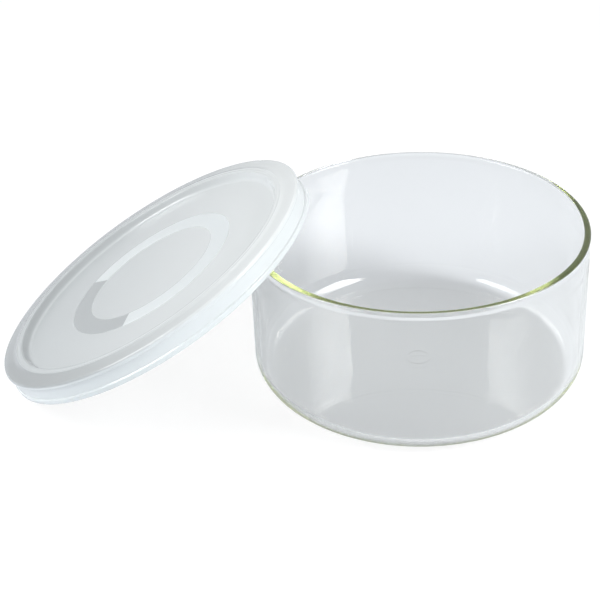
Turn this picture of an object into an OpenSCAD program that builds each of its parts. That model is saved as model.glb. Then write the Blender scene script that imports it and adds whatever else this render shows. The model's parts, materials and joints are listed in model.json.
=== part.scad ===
// Crystallizing dish with a press-on lid that has been taken off and leans on the dish's rim

/* [Dish] */
// Outer diameter of the dish
dish_d = 190; // [150:1:230]
// Height from the underside to the top of the rim
dish_h = 90; // [70:1:110]
// Thickness of the side wall
wall_t = 3; // [2:0.1:3.8]
// Thickness of the flat bottom
base_t = 3.5; // [2:0.1:6]
// Outer radius where the wall turns into the bottom
corner_r = 15; // [8:0.5:25]
// Thickness of the rounded, fire-polished rim
rim_t = 3.9; // [3.2:0.1:5]
// How far the wall draws in just under the rim
neck_in = 0.7; // [0:0.1:1]
// Height of the stretch of wall that draws in
neck_h = 16; // [8:1:30]

/* [Lid] */
// How far the lid's edge stands out past the dish
lid_over = 6; // [5:0.5:8]
// Height from the foot of the skirt to the top of the crown
lid_h = 14.4; // [12:0.1:18]
// Wall thickness of the moulding
lid_t = 1.2; // [0.8:0.1:1.6]
// Depth of the middle panel below the crown
panel_drop = 4.6; // [3.5:0.1:5.5]
// Radius of the fillet round the panel
panel_fillet = 2.5; // [1:0.1:3.4]
// Width of the crown from the panel's wall to the lid's edge
crown_w = 15; // [13.5:0.5:18]
// Width of the shoulder that slopes down to the lid's edge
shoulder_w = 10; // [6:0.5:12]
// Drop of that shoulder
shoulder_drop = 1.2; // [0.4:0.1:1.6]
// Height of the flange round the lid's edge
flange_h = 3.6; // [3.2:0.1:5]
// How far the skirt stands in from the flange
skirt_in = 0.9; // [0.4:0.1:1.2]
// Height of the thicker lip round the foot of the skirt
lip_h = 3.5; // [2.5:0.1:5]
// Thickness of that lip
lip_t = 1.8; // [1.4:0.1:2.4]
// Middle diameter of the raised band on the panel
band_d = 95; // [60:1:105]
// Width of the raised band
band_w = 12.4; // [5:0.1:20]
// Height of the raised band
band_rise = 0.3; // [0.1:0.05:0.6]

/* [Fit] */
// Air between the rim's outside and the ring that grips it when the lid is on
grip_gap = 0.2; // [0.1:0.05:0.5]
// Thickness of the grip ring
grip_t = 1.2; // [0.8:0.1:1.6]
// Depth of the grip ring below the crown's underside
grip_h = 6; // [4:0.5:7]
// Air between the rim and the lid that leans on it
rest_gap = 0.3; // [0.3:0.05:0.6]

/* [Hidden] */
$fn = 96;

// Dish
dish_r = dish_d / 2;
inner_r = dish_r - wall_t;
inner_corner_r = corner_r - wall_t;
bead_r = rim_t / 2;
bead_at_r = dish_r - bead_r;
bead_z = dish_h - bead_r;
open_z = dish_h + rim_t;

// Lid, with its own zero at the middle of the crown's top plane
lid_r = dish_r + lid_over;
panel_r = lid_r - crown_w;
skirt_r = lid_r - skirt_in;
grip_r = dish_r + grip_gap;
edge_round = 1.1;
crown_round = 0.8;
lip_step = 0.6;
notch_step = 0.3;
lip_round = lip_t / 2;
shoulder_slope = atan(shoulder_drop / (shoulder_w - edge_round));

// How the lid leans. Its panel lies on the rim, its foot stands on the table, and its skirt
// hooks just inside the rim, which stops it from sliding off.
bead_depth = panel_drop + lid_t + rest_gap + bead_r;
foot_r = lid_r - lip_round;
foot_depth = lid_h - lip_round;

// Tilt at which the foot stands at height 0 and the rim meets the panel at this reach
function tilt(reach) =
    let (a = reach + foot_r, b = foot_depth - bead_depth)
    asin((bead_z - lip_round) / norm([a, b])) - atan2(b, a);
function lid_x(reach, t) = -bead_at_r - reach * cos(t) - bead_depth * sin(t);
function lid_z(t) = foot_r * sin(t) + foot_depth * cos(t) + lip_round;
// A point of the foot's ring, at an angle round the lid from its high end
function foot_point(reach, t, turn) = [
    lid_x(reach, t) + foot_r * cos(turn) * cos(t) + foot_depth * sin(t),
    foot_r * sin(turn),
    lid_z(t) + foot_r * cos(turn) * sin(t) - foot_depth * cos(t)
];
function bead_distance(p) = norm([norm([p.x, p.y]) - bead_at_r, p.z - bead_z]);
function foot_gap(reach, t) =
    min([for (turn = [0:0.25:90]) bead_distance(foot_point(reach, t, turn))]) - lip_round - bead_r;
// The reach that leaves the resting gap between the foot and the rim, by halving
function find_reach(low, high, steps) =
    let (middle = (low + high) / 2)
    steps == 0 ? middle
    : foot_gap(middle, tilt(middle)) > rest_gap ? find_reach(middle, high, steps - 1)
    : find_reach(low, middle, steps - 1);

reach = find_reach(0.3 * panel_r, panel_r, 16);
lean = tilt(reach);

function arc(centre, r, from, to, steps = 6) =
    [for (i = [0:steps]) centre + r * [cos(from + (to - from) * i / steps), sin(from + (to - from) * i / steps)]];

// Half section of a round tub with a filleted bottom corner, open upwards
module tub_section(r, fillet, bottom, top) {
    translate([0, bottom])
        square([r - fillet, top - bottom]);
    translate([0, bottom + fillet])
        square([r, top - bottom - fillet]);
    translate([r - fillet, bottom + fillet])
        circle(fillet);
}

module dish_section() {
    neck_z = dish_h - neck_h;
    difference() {
        union() {
            tub_section(dish_r, corner_r, 0, neck_z);
            polygon([[0, neck_z], [dish_r, neck_z], [dish_r - neck_in, bead_z], [0, bead_z]]);
        }
        tub_section(inner_r, inner_corner_r, base_t, open_z);
    }
    translate([bead_at_r, bead_z])
        circle(bead_r);
}

module dish() {
    color([0.80, 0.86, 0.82, 0.45])
        rotate_extrude()
            intersection() {
                dish_section();
                square([lid_r, open_z]);
            }
}

// Half section of the lid: out along the top, round the foot, and back along the underside
module lid_section() {
    panel_z = -panel_drop;
    fillet_at = [panel_r - panel_fillet, panel_z + panel_fillet];
    lip_z = lip_h - lid_h;
    band_in = (band_d - band_w) / 2;
    band_out = (band_d + band_w) / 2;
    polygon(concat(
        [[0, panel_z], [band_in, panel_z], [band_in + band_rise, panel_z + band_rise]],
        [[band_out - band_rise, panel_z + band_rise], [band_out, panel_z]],
        arc(fillet_at, panel_fillet, -90, 0),
        arc([panel_r + crown_round, -crown_round], crown_round, 180, 90),
        [[lid_r - shoulder_w, 0]],
        arc([lid_r - edge_round, -shoulder_drop - edge_round], edge_round, 90 - shoulder_slope, 0),
        [[lid_r, -flange_h], [skirt_r, -flange_h - notch_step]],
        [[skirt_r, lip_z], [lid_r, lip_z - lip_step]],
        arc([foot_r, -foot_depth], lip_round, 0, -180, 10),
        [[lid_r - lip_t, lip_z - lip_step], [skirt_r - lid_t, lip_z]],
        [[skirt_r - lid_t, -shoulder_drop - lid_t]],
        [[grip_r + grip_t, -shoulder_drop - lid_t], [grip_r + grip_t, -shoulder_drop - lid_t - grip_h]],
        [[grip_r, -shoulder_drop - lid_t - grip_h], [grip_r, -lid_t], [panel_r + lid_t, -lid_t]],
        arc(fillet_at, panel_fillet + lid_t, 0, -90),
        [[0, panel_z - lid_t]]
    ));
}

module lid() {
    color([0.88, 0.92, 0.94])
        translate([lid_x(reach, lean), 0, lid_z(lean)])
            rotate([0, -lean, 0])
                rotate_extrude()
                    lid_section();
}

dish();
lid();
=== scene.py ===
import json
import math

import bmesh
import bpy
from bpy.props import FloatProperty, FloatVectorProperty, IntProperty, PointerProperty
from mathutils import Euler, Matrix, Vector


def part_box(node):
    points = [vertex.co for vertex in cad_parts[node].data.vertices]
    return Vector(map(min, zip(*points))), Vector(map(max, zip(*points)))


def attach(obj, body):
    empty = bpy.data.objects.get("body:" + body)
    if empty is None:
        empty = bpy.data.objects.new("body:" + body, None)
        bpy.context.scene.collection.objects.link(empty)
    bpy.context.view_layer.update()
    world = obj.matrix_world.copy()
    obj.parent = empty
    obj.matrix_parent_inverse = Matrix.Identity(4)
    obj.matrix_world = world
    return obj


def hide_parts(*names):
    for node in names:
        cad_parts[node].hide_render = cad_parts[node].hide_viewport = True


bl_info = {
    "name": "Crystallizing dish",
    "version": (1, 0, 0),
    "blender": (4, 5, 0),
    "location": "3D View > Sidebar > Dish",
    "description": "A round glass dish with a press-on lid leaning on its rim, in a plain studio",
    "category": "Add Mesh",
}

MM = 0.001

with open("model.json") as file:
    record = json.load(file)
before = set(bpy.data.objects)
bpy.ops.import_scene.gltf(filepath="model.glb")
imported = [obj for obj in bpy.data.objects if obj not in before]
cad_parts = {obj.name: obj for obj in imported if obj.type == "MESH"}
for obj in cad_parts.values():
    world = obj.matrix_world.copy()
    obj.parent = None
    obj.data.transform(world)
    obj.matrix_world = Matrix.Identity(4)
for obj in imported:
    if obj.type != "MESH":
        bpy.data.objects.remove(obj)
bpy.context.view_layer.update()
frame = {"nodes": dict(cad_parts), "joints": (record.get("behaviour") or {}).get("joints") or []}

ON_AXIS = 1e-7
WHITE = (1, 1, 1, 1)
BLACK = (0, 0, 0, 1)
GLASS_IOR = 1.474
PLASTIC_IOR = 1.51

# The lid's outer shoulder, from the crown down to the flange
SHOULDER_WIDTH = 10 * MM
SHOULDER_DROP = 1.2 * MM

# How much of what is seen of the floor is its own light: directly, and in glass or a reflection
FLOOR_GLOW = 0.82
FLOOR_GLOW_MIRRORED = 0.42

# The floor is a wide disc, a little below the dish
FLOOR_RADIUS = 5.0
FLOOR_GAP = 0.1 * MM

# Each softbox's name, its side and its share of the power
SOFTBOXES = (("left_softbox", -1, 0.42), ("right_softbox", 1, 0.66))

# The camera's place, its turns and its lens
CAMERA_PLACE = (20.7 * MM, -750.8 * MM, 494.2 * MM)
CAMERA_TILT = math.radians(90 - 30.985)
CAMERA_PAN = math.radians(6.749)
CAMERA_ROLL = math.radians(-2.7)
CAMERA_LENS = 91.5


# Where the CAD pieces are

dish_low, dish_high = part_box("dish")
DISH_RADIUS = (dish_high.x - dish_low.x) / 2
DISH_HEIGHT = dish_high.z


def lid_place():
    """The lid's matrix, from its middle on the top of the crown, and its radius and depth."""
    slide = Vector(frame["joints"][0]["axis"]).normalized()
    uphill = Vector((slide.z, 0, -slide.x))
    points = [vertex.co for vertex in frame["nodes"]["lid"].data.vertices]
    reach = [point.dot(uphill) for point in points]
    height = [point.dot(slide) for point in points]
    across = [point.y for point in points]
    middle = uphill * (min(reach) + max(reach)) / 2 + slide * max(height)
    middle.y = (min(across) + max(across)) / 2
    turn = Matrix((uphill, (0, 1, 0), slide)).transposed().to_4x4()
    return Matrix.Translation(middle) @ turn, (max(reach) - min(reach)) / 2, max(height) - min(height)


LID_MATRIX, LID_RADIUS, LID_DEPTH = lid_place()


# Sizes and colours that a user would change


class DishSettings(bpy.types.PropertyGroup):
    wall: FloatProperty(
        name="Wall", description="Thickness of the side wall", default=3.0 * MM, unit="LENGTH"
    )
    bottom: FloatProperty(
        name="Bottom", description="Thickness of the flat bottom", default=3.5 * MM, unit="LENGTH"
    )
    corner: FloatProperty(
        name="Corner", description="Outer radius between wall and bottom", default=15.0 * MM, unit="LENGTH"
    )
    rim: FloatProperty(
        name="Rim", description="Thickness of the fire-polished rim", default=3.9 * MM, unit="LENGTH"
    )
    neck: FloatProperty(
        name="Neck", description="How far the wall draws in under the rim", default=0.7 * MM, unit="LENGTH"
    )
    wave: FloatProperty(
        name="Wave", description="Depth of the waves left in the blown wall", default=0.06 * MM, unit="LENGTH"
    )
    tint: FloatVectorProperty(
        name="Tint", description="Colour that long paths through the glass take",
        default=(0.44, 0.50, 0.06), subtype="COLOR", size=3, min=0, max=1,
    )
    tint_strength: FloatProperty(
        name="Tint strength", description="Absorption of the glass per metre", default=5.5
    )


class LidSettings(bpy.types.PropertyGroup):
    sheet: FloatProperty(
        name="Sheet", description="Wall thickness of the moulding", default=1.2 * MM, unit="LENGTH"
    )
    panel_drop: FloatProperty(
        name="Panel drop", description="Depth of the panel below the crown", default=4.6 * MM, unit="LENGTH"
    )
    crown: FloatProperty(
        name="Crown", description="Width from the panel's wall to the edge", default=15.0 * MM, unit="LENGTH"
    )
    band_inner: FloatProperty(
        name="Band inside", description="Inner radius of the frosted band", default=41.3 * MM, unit="LENGTH"
    )
    band_outer: FloatProperty(
        name="Band outside", description="Outer radius of the frosted band", default=53.7 * MM, unit="LENGTH"
    )
    colour: FloatVectorProperty(
        name="Plastic", description="Colour of the milky plastic",
        default=(0.85, 0.89, 0.905), subtype="COLOR", size=3, min=0, max=1,
    )
    worn_start: FloatProperty(
        name="Worn from", description="Angle from the top of the slope where the band's worn stretch starts",
        default=math.radians(151), subtype="ANGLE",
    )
    worn_end: FloatProperty(
        name="Worn to", description="Angle where the worn stretch ends",
        default=math.radians(262), subtype="ANGLE",
    )

    def shade(self, share):
        """The plastic's colour, made paler or darker, as a material takes it."""
        return (*(min(0.97, share * c) for c in self.colour), 1.0)


class StudioSettings(bpy.types.PropertyGroup):
    floor_grey: FloatVectorProperty(
        name="Floor", description="Colour of the floor in reflections and through the glass",
        default=(0.815, 0.84, 0.875), subtype="COLOR", size=3, min=0, max=1,
    )
    box_watts: FloatProperty(
        name="Side light", description="Power of the two side softboxes", default=21.4, unit="POWER"
    )
    sky: FloatProperty(
        name="Sky", description="Strength of the even light all round", default=0.42
    )
    sky_shown: FloatProperty(
        name="Shown sky", description="Strength of the room in reflections and through glass", default=0.70
    )
    sky_colour: FloatVectorProperty(
        name="Sky colour", description="Colour of the even light all round",
        default=(0.95, 0.98, 1.0), subtype="COLOR", size=3, min=0, max=1,
    )
    box_width: FloatProperty(
        name="Softbox width", description="Width of each softbox", default=0.899, unit="LENGTH"
    )
    box_height: FloatProperty(
        name="Softbox height", description="Height of each softbox", default=0.62, unit="LENGTH"
    )
    box_distance: FloatProperty(
        name="Softbox distance", description="From the dish to each softbox", default=1.2, unit="LENGTH"
    )
    box_turn: FloatProperty(
        name="Softbox turn", description="How far each softbox stands round from the front",
        default=math.radians(82), subtype="ANGLE",
    )
    box_lift: FloatProperty(
        name="Softbox lift", description="How far each softbox stands up from the floor",
        default=math.radians(38), subtype="ANGLE",
    )
    light_bounces: IntProperty(
        name="Bounces", description="Steps that light may take inside the glass wall", default=128, min=8
    )
    turns: IntProperty(
        name="Turns", description="Steps round each turned piece", default=288, min=24
    )


# Outlines and turned meshes


def rounded(corners, arc_step=math.radians(7)):
    """A polyline through (x, z, radius) corners, each turned into an arc of that radius."""
    points = []
    count = len(corners)
    for i, (x, z, radius) in enumerate(corners):
        here = Vector((x, z))
        if radius == 0 or i in (0, count - 1):
            points.append(here)
            continue
        to_last = (Vector(corners[i - 1][:2]) - here).normalized()
        to_next = (Vector(corners[i + 1][:2]) - here).normalized()
        half = to_last.angle(to_next) / 2
        start = here + to_last * radius / math.tan(half)
        centre = here + (to_last + to_next).normalized() * radius / math.sin(half)
        spoke = start - centre
        sweep = math.pi - 2 * half
        if to_last.x * to_next.y - to_last.y * to_next.x > 0:
            sweep = -sweep
        steps = max(2, math.ceil(abs(sweep) / arc_step))
        for k in range(steps + 1):
            angle = sweep * k / steps
            cos, sin = math.cos(angle), math.sin(angle)
            points.append(centre + Vector((spoke.x * cos - spoke.y * sin, spoke.x * sin + spoke.y * cos)))
    return points


def divided(points, longest):
    """The polyline with its long stretches cut into equal steps."""
    result = [points[0]]
    for last, point in zip(points, points[1:]):
        steps = max(1, math.ceil((point - last).length / longest))
        result += [last.lerp(point, k / steps) for k in range(1, steps + 1)]
    return result


def turned_piece(name, outline, turns, shift=None, place=None):
    """A smooth closed mesh made by turning an outline that starts and ends on the axis.

    shift moves each point before it is turned, and place moves the finished mesh.
    """
    mesh = bmesh.new()
    rings = []
    for radius, z in outline:
        if radius < ON_AXIS:
            rings.append([mesh.verts.new((0, 0, z))])
            continue
        ring = []
        for k in range(turns):
            angle = 2 * math.pi * k / turns
            r, height = shift(radius, z, angle) if shift else (radius, z)
            ring.append(mesh.verts.new((r * math.cos(angle), r * math.sin(angle), height)))
        rings.append(ring)
    for last, ring in zip(rings, rings[1:]):
        for k in range(turns):
            after = (k + 1) % turns
            corners = [last[k % len(last)], last[after % len(last)]]
            corners += [ring[after % len(ring)], ring[k % len(ring)]]
            mesh.faces.new(list(dict.fromkeys(corners)))
    bmesh.ops.recalc_face_normals(mesh, faces=mesh.faces)
    if place:
        mesh.transform(place)
    data = bpy.data.meshes.new(name)
    mesh.to_mesh(data)
    mesh.free()
    for polygon in data.polygons:
        polygon.use_smooth = True
    piece = bpy.data.objects.new(name, data)
    bpy.context.scene.collection.objects.link(piece)
    return piece


# Materials


class Wire:
    """A number inside a material. Adding or scaling wires adds the Math nodes for it."""

    def __init__(self, paint, socket):
        self.paint = paint
        self.socket = socket

    def __add__(self, other):
        return self.paint.maths("ADD", self, other)

    def __radd__(self, other):
        return self.paint.maths("ADD", other, self)

    def __sub__(self, other):
        return self.paint.maths("SUBTRACT", self, other)

    def __rsub__(self, other):
        return self.paint.maths("SUBTRACT", other, self)

    def __mul__(self, other):
        return self.paint.maths("MULTIPLY", self, other)

    def __rmul__(self, other):
        return self.paint.maths("MULTIPLY", other, self)

    def __truediv__(self, other):
        return self.paint.maths("DIVIDE", self, other)

    def __pow__(self, other):
        return self.paint.maths("POWER", self, other)

    def smooth(self, low, high):
        """0 below low, 1 above high, and a soft step between."""
        settings = {"interpolation_type": "SMOOTHSTEP"}
        return self.paint.node("ShaderNodeMapRange", settings, {0: self, 1: low, 2: high})[0]


class Made:
    """A node that has been made. Its outputs are taken by name or number."""

    def __init__(self, paint, node):
        self.paint = paint
        self.node = node

    def __getitem__(self, key):
        return Wire(self.paint, self.node.outputs[key])


class Paint:
    """A material, world or lamp being wired up."""

    def __init__(self, owner):
        owner.use_nodes = True
        self.owner = owner
        self.tree = owner.node_tree
        self.tree.nodes.clear()

    def node(self, kind, settings=None, sockets=None):
        """Add one node: its settings first, then the values or links of its sockets."""
        node = self.tree.nodes.new(kind)
        for key, value in (settings or {}).items():
            setattr(node, key, value)
        for key, value in (sockets or {}).items():
            if isinstance(value, Wire):
                self.tree.links.new(value.socket, node.inputs[key])
            else:
                node.inputs[key].default_value = value
        return Made(self, node)

    def maths(self, operation, *values):
        return self.node("ShaderNodeMath", {"operation": operation}, dict(enumerate(values)))[0]

    def vector_maths(self, operation, *vectors):
        return self.node("ShaderNodeVectorMath", {"operation": operation}, dict(enumerate(vectors)))

    def mix(self, factor, first, second):
        """Blend two colours."""
        settings = {"data_type": "RGBA"}
        return self.node("ShaderNodeMix", settings, {0: factor, 6: first, 7: second})[2]

    def noise(self, place, scale, detail):
        sockets = {"Vector": place, "Scale": scale, "Detail": detail}
        return self.node("ShaderNodeTexNoise", None, sockets)["Fac"]

    def bump(self, height, distance, strength):
        sockets = {"Height": height, "Distance": distance, "Strength": strength}
        return self.node("ShaderNodeBump", None, sockets)[0]

    def object_place(self):
        return self.node("ShaderNodeTexCoord")["Object"]

    def along(self, place, start, way):
        """How far a place lies from a start, measured along a unit vector."""
        away = self.vector_maths("SUBTRACT", place, start)[0]
        return self.vector_maths("DOT_PRODUCT", away, way)["Value"]


def new_paint(name):
    return Paint(bpy.data.materials.new(name))


def opaque(colour):
    return (*colour, 1.0)


def glass_paint(look):
    paint = new_paint("clear_glass")
    place = paint.object_place()
    smear = paint.noise(place, 60.0, 3.0).smooth(0.55, 0.8)
    ripple = paint.noise(place, 26.0, 1.0)
    shader = paint.node("ShaderNodeBsdfPrincipled", None, {
        "Base Color": WHITE,
        "Roughness": 0.012 * smear,
        "IOR": GLASS_IOR,
        "Transmission Weight": 1.0,
        "Normal": paint.bump(ripple, 0.05 * MM, 0.6),
    })
    volume = paint.node("ShaderNodeVolumeAbsorption", None, {
        "Color": opaque(look.tint), "Density": look.tint_strength,
    })
    paint.node("ShaderNodeOutputMaterial", None, {"Surface": shader[0], "Volume": volume[0]})
    return paint.owner


def lid_paint(look):
    """Milky, slightly see-through plastic, with a frosted band that is worn smooth on one side, and painted
    shade and light: darker toward the low end, on the shoulder and on the panel's wall, paler toward the
    upper end and on the flange, skirt and lip.
    """
    paint = new_paint("milky_plastic")
    place = paint.object_place()
    uphill, across, upright, middle = (column.xyz for column in LID_MATRIX.col)
    x = paint.along(place, middle, uphill)
    y = paint.along(place, middle, across)
    z = paint.along(place, middle, upright)
    radius = (x * x + y * y) ** 0.5
    turn = paint.maths("ARCTAN2", -1 * y, -1 * x) + math.pi
    edge = 0.2 * MM
    corner = edge / look.band_inner
    band = radius.smooth(look.band_inner - edge, look.band_inner + edge)
    band = band * (1 - radius.smooth(look.band_outer - edge, look.band_outer + edge))
    worn = turn.smooth(look.worn_start - corner, look.worn_start + corner)
    worn = band * worn * (1 - turn.smooth(look.worn_end - corner, look.worn_end + corner))
    grain = paint.noise(place, 2600.0, 2.0)
    cloud = paint.noise(place, 22.0, 2.0)
    crown = LID_RADIUS - look.crown
    # Painted shade and light: the plastic is painted darker toward the lid's low end and paler toward its
    # upper end, and the random cloudy darkening fades out toward the upper end.
    slope = (x / LID_RADIUS).smooth(-1.1, 1.1)
    wall = radius.smooth(crown - 1.5 * MM, crown) * (1 - radius.smooth(crown + 1.4 * MM, crown + 2.0 * MM))
    shoulder_start = LID_RADIUS - SHOULDER_WIDTH
    shoulder = radius.smooth(shoulder_start - 0.2 * MM, shoulder_start + 0.4 * MM)
    # Painted light: the flange, skirt and lip are painted paler than the top.
    side = 1 - z.smooth(-2.6 * MM, -1.6 * MM)
    side = side * radius.smooth(LID_RADIUS - 3 * MM, LID_RADIUS - 2 * MM)
    tone = paint.mix(slope, look.shade(0.74), look.shade(1.11))
    tone = paint.mix(0.3 * cloud * (1 - slope), tone, look.shade(0.94))
    # Painted shade: the shoulder and the panel's wall are painted darker, most toward the low end.
    tone = paint.mix((0.95 * shoulder + 0.7 * wall) * (1 - slope), tone, look.shade(0.52))
    tone = paint.mix(side, tone, look.shade(1.08))
    tone = paint.mix(band, tone, look.shade(1.08))
    tone = paint.mix(worn, tone, look.shade(0.65))
    shader = paint.node("ShaderNodeBsdfPrincipled", None, {
        "Base Color": tone,
        "Roughness": 0.2 + 0.2 * band,
        "IOR": PLASTIC_IOR,
        "Transmission Weight": 0.22,
        "Coat Weight": 0.5,
        "Coat Roughness": 0.08,
        "Normal": paint.bump(grain * band, 0.05 * MM, 0.5),
    })
    paint.node("ShaderNodeOutputMaterial", None, {"Surface": shader[0]})
    return paint.owner


def shown(paint):
    """Two masks: what the camera sees, and what it sees in a reflection or through glass."""
    path = paint.node("ShaderNodeLightPath")
    return path["Is Camera Ray"], paint.maths("MAXIMUM", path["Is Glossy Ray"], path["Is Transmission Ray"])


def floor_paint(studio):
    """White to the camera and pale in glass and reflections, with the object's shadow kept."""
    paint = new_paint("pale_floor")
    camera, mirrored = shown(paint)
    tone = paint.mix(camera, opaque(studio.floor_grey), opaque((1.05, 1.05, 1.05)))
    lit = paint.node("ShaderNodeBsdfDiffuse", None, {"Color": tone})
    glow = paint.node("ShaderNodeEmission", None, {"Color": tone})
    share = FLOOR_GLOW * camera + FLOOR_GLOW_MIRRORED * mirrored
    both = paint.node("ShaderNodeMixShader", None, {0: share, 1: lit[0], 2: glow[0]})
    paint.node("ShaderNodeOutputMaterial", None, {"Surface": both[0]})
    return paint.owner


# The pieces


class DISH_OT_dish(bpy.types.Operator):
    """Make the glass dish, with its rounded bottom corner and fire-polished rim"""

    bl_idname = "dish.dish"
    bl_label = "Glass dish"

    def execute(self, context):
        look = context.scene.dish_look
        studio = context.scene.dish_studio
        outer, top = DISH_RADIUS, DISH_HEIGHT
        inner = outer - look.wall
        bead = look.rim / 2
        neck_top = top - bead
        neck_low = top - 4.6 * MM
        waist = top - 16 * MM
        ring = 6.5 * MM
        # Up the outside from the middle, over the rim and down to the middle of the inside
        outline = divided(rounded([
            (0, 0, 0),
            (outer, 0, look.corner),
            (outer, waist, 60 * MM),
            (outer - look.neck, neck_low, 4 * MM),
            (outer, neck_top, 1.5 * MM),
            (outer, top, 0.75 * bead),
            (outer - look.rim, top, 0.75 * bead),
            (inner - look.neck, neck_low, 20 * MM),
            (inner, waist, 60 * MM),
            (inner, look.bottom, look.corner - look.wall),
            # A low mould ring in the middle of the bottom
            (ring + 1.6 * MM, look.bottom, 1.0 * MM),
            (ring + 0.6 * MM, look.bottom + 0.2 * MM, 0.3 * MM),
            (ring, look.bottom + 0.2 * MM, 0.3 * MM),
            (ring - 1.0 * MM, look.bottom, 1.0 * MM),
            (2.0 * MM, look.bottom, 0),
            (0, look.bottom + 0.15 * MM, 0),
        ]), 4 * MM)
        middle = outer - look.wall / 2

        def waves(radius, z, angle):
            wall = max(0.0, min(1.0, (z - look.corner / 2) / look.corner))
            wall *= max(0.0, min(1.0, (neck_low - z) / look.corner))
            side = 1.0 if radius > middle else -0.8
            ripple = math.sin(3 * angle + 40 * z) + 0.7 * math.sin(7 * angle - 55 * z + 1.3)
            ripple += 0.35 * math.sin(17 * angle + 90 * z + 4.0)
            return radius - look.wave * wall * (1.0 + side * ripple / 2.05) / 2, z

        piece = turned_piece("glass_dish", outline, studio.turns, waves)
        piece.data.materials.append(glass_paint(look))
        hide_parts("dish")
        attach(piece, "dish")
        return {"FINISHED"}


class DISH_OT_lid(bpy.types.Operator):
    """Make the press-on lid, leaning on the rim"""

    bl_idname = "dish.lid"
    bl_label = "Leaning lid"

    def execute(self, context):
        look = context.scene.dish_lid
        studio = context.scene.dish_studio
        edge, foot, sheet = LID_RADIUS, -LID_DEPTH, look.sheet
        panel = -look.panel_drop
        wall = edge - look.crown
        band_rise = 0.15 * MM
        shoulder = edge - SHOULDER_WIDTH
        shoulder_z = -SHOULDER_DROP
        skirt = edge - 0.9 * MM
        flange = -3.6 * MM
        lip_top = foot + 3.5 * MM
        lip = 1.8 * MM
        under = shoulder_z - sheet
        grip = DISH_RADIUS + 0.2 * MM
        grip_foot = under - 6 * MM
        line = 0.12 * MM
        outline = divided(rounded([
            # The panel with its raised band, then up its wall
            (0, panel, 0),
            (look.band_inner, panel, 0.3 * MM),
            (look.band_inner + band_rise, panel + band_rise, 0.3 * MM),
            (look.band_outer - band_rise, panel + band_rise, 0.3 * MM),
            (look.band_outer, panel, 0.3 * MM),
            (wall - 1.3 * MM, panel, 2.6 * MM),
            (wall + 1.0 * MM, -line, 0.9 * MM),
            # Fine concentric lines on the crown
            (wall + 2.2 * MM, -line, 0),
            (wall + 2.5 * MM, 0, 0),
            (wall + 2.9 * MM, 0, 0),
            (wall + 3.2 * MM, -line, 0),
            (shoulder - 0.6 * MM, -line, 0),
            (shoulder - 0.3 * MM, 0, 0),
            (shoulder, 0, 0),
            (shoulder + 0.4 * MM, -2.5 * line, 0),
            # Shoulder, flange, skirt and lip
            (edge, shoulder_z, 1.45 * MM),
            (edge, flange, 0.6 * MM),
            (skirt, flange - 0.3 * MM, 0.4 * MM),
            (skirt, lip_top, 0.5 * MM),
            (edge, lip_top - 0.6 * MM, 0.5 * MM),
            (edge, foot, 0.49 * lip),
            (edge - lip, foot, 0.49 * lip),
            # Back up inside, round the grip ring, and under the panel
            (edge - lip, lip_top - 0.6 * MM, 0.4 * MM),
            (skirt - sheet, lip_top, 0.4 * MM),
            (skirt - sheet, under, 0.5 * MM),
            (grip + sheet, under, 0.4 * MM),
            (grip + sheet, grip_foot, 0.49 * sheet),
            (grip, grip_foot, 0.49 * sheet),
            (grip, -sheet, 0.4 * MM),
            (wall + sheet + 0.4 * MM, -sheet, 0.5 * MM),
            (wall + sheet - 1.7 * MM, panel - sheet, 3.0 * MM),
            (0, panel - sheet, 0),
        ]), 3 * MM)
        piece = turned_piece("press_on_lid", outline, studio.turns, place=LID_MATRIX)
        piece.data.materials.append(lid_paint(look))
        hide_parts("lid")
        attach(piece, "lid")
        return {"FINISHED"}


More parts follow.
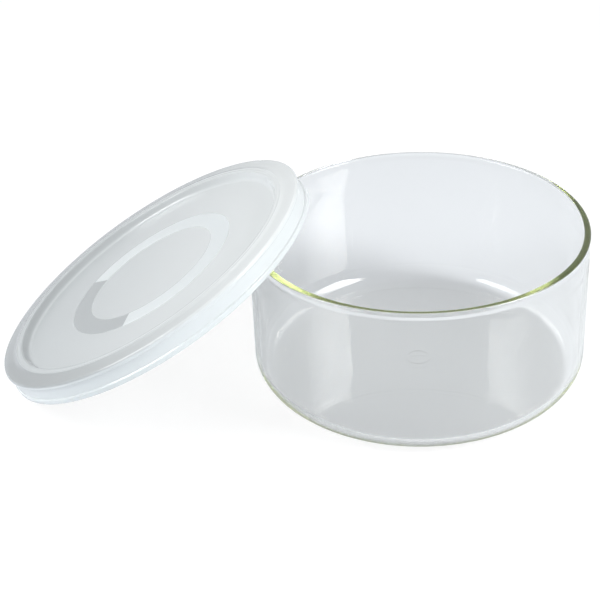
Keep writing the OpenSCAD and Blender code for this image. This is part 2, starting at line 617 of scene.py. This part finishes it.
class DISH_OT_stage(bpy.types.Operator):
    """Make the pale floor, the soft studio light and the camera"""

    bl_idname = "dish.stage"
    bl_label = "Studio"

    def execute(self, context):
        scene = context.scene
        studio = scene.dish_studio
        self.lay_floor(scene, studio)
        self.light_room(scene, studio)
        self.set_camera(scene)
        scene.view_settings.view_transform = "Standard"
        for kind in ("max_bounces", "glossy_bounces", "transmission_bounces"):
            setattr(scene.cycles, kind, studio.light_bounces)
        return {"FINISHED"}

    def lay_floor(self, scene, studio):
        mesh = bmesh.new()
        bmesh.ops.create_circle(mesh, cap_ends=True, radius=FLOOR_RADIUS, segments=64)
        data = bpy.data.meshes.new("floor")
        mesh.to_mesh(data)
        mesh.free()
        floor = bpy.data.objects.new("floor", data)
        scene.collection.objects.link(floor)
        floor.location.z = -FLOOR_GAP
        data.materials.append(floor_paint(studio))

    def light_room(self, scene, studio):
        world = bpy.data.worlds.new("studio")
        scene.world = world
        paint = Paint(world)
        camera, mirrored = shown(paint)
        strength = studio.sky + (studio.sky_shown - studio.sky) * mirrored + (1 - studio.sky) * camera
        sky = paint.node("ShaderNodeBackground", None, {
            "Color": paint.mix(camera, opaque(studio.sky_colour), WHITE), "Strength": strength,
        })
        paint.node("ShaderNodeOutputWorld", None, {"Surface": sky[0]})
        middle = Vector((0, 0, DISH_HEIGHT / 2))
        for name, side, share in SOFTBOXES:
            self.softbox(scene, name, middle, side, share * studio.box_watts)

    def softbox(self, scene, name, target, side, watts):
        """A lamp that stands beside the target, lifted above the floor."""
        studio = scene.dish_studio
        turn, lift = side * studio.box_turn, studio.box_lift
        lamp = bpy.data.lights.new(name, "AREA")
        lamp.shape = "RECTANGLE"
        lamp.size = studio.box_width
        lamp.size_y = studio.box_height
        lamp.energy = watts
        self.fade(lamp, side)
        way = Vector((math.sin(turn) * math.cos(lift), -math.cos(turn) * math.cos(lift), math.sin(lift)))
        lamp_object = bpy.data.objects.new(name, lamp)
        lamp_object.location = target + way * studio.box_distance
        lamp_object.rotation_euler = way.to_track_quat("Z", "Y").to_euler()
        scene.collection.objects.link(lamp_object)

    def fade(self, lamp, side):
        """Let a lamp's light fade from its edge next to the camera to its far edge."""
        paint = Paint(lamp)
        spot = paint.node("ShaderNodeNewGeometry")["Parametric"]
        far = paint.node("ShaderNodeSeparateXYZ", None, {0: spot})["X"]
        if side < 0:
            far = 1 - far
        tone = paint.mix(far.smooth(0.15, 1.0), WHITE, BLACK)
        glow = paint.node("ShaderNodeEmission", None, {"Color": tone, "Strength": 1.6})
        paint.node("ShaderNodeOutputLight", None, {"Surface": glow[0]})

    def set_camera(self, scene):
        """The camera stands in front of the dish, a little to the right, and looks down past the lid."""
        data = bpy.data.cameras.new("camera")
        data.sensor_width = 36
        data.lens = CAMERA_LENS
        camera = bpy.data.objects.new("camera", data)
        turn = Euler((CAMERA_TILT, 0, CAMERA_PAN)).to_matrix().to_4x4() @ Matrix.Rotation(CAMERA_ROLL, 4, "Z")
        camera.matrix_world = Matrix.Translation(CAMERA_PLACE) @ turn
        scene.collection.objects.link(camera)
        scene.camera = camera


class DISH_PT_panel(bpy.types.Panel):
    """The pieces of the dish, in the 3D view's sidebar"""

    bl_label = "Crystallizing dish"
    bl_idname = "DISH_PT_panel"
    bl_space_type = "VIEW_3D"
    bl_region_type = "UI"
    bl_category = "Dish"

    def draw(self, context):
        for group in (context.scene.dish_look, context.scene.dish_lid, context.scene.dish_studio):
            for name in group.__annotations__:
                self.layout.prop(group, name)
        for operator in OPERATORS:
            self.layout.operator(operator.bl_idname)


GROUPS = {"dish_look": DishSettings, "dish_lid": LidSettings, "dish_studio": StudioSettings}
OPERATORS = (DISH_OT_dish, DISH_OT_lid, DISH_OT_stage)


def register():
    for name, group in GROUPS.items():
        bpy.utils.register_class(group)
        setattr(bpy.types.Scene, name, PointerProperty(type=group))
    for each in (*OPERATORS, DISH_PT_panel):
        bpy.utils.register_class(each)


def unregister():
    for each in (DISH_PT_panel, *OPERATORS):
        bpy.utils.unregister_class(each)
    for name, group in GROUPS.items():
        delattr(bpy.types.Scene, name)
        bpy.utils.unregister_class(group)


def main():
    register()
    bpy.ops.dish.dish()
    bpy.ops.dish.lid()
    bpy.ops.dish.stage()


if __name__ == "__main__":
    main()
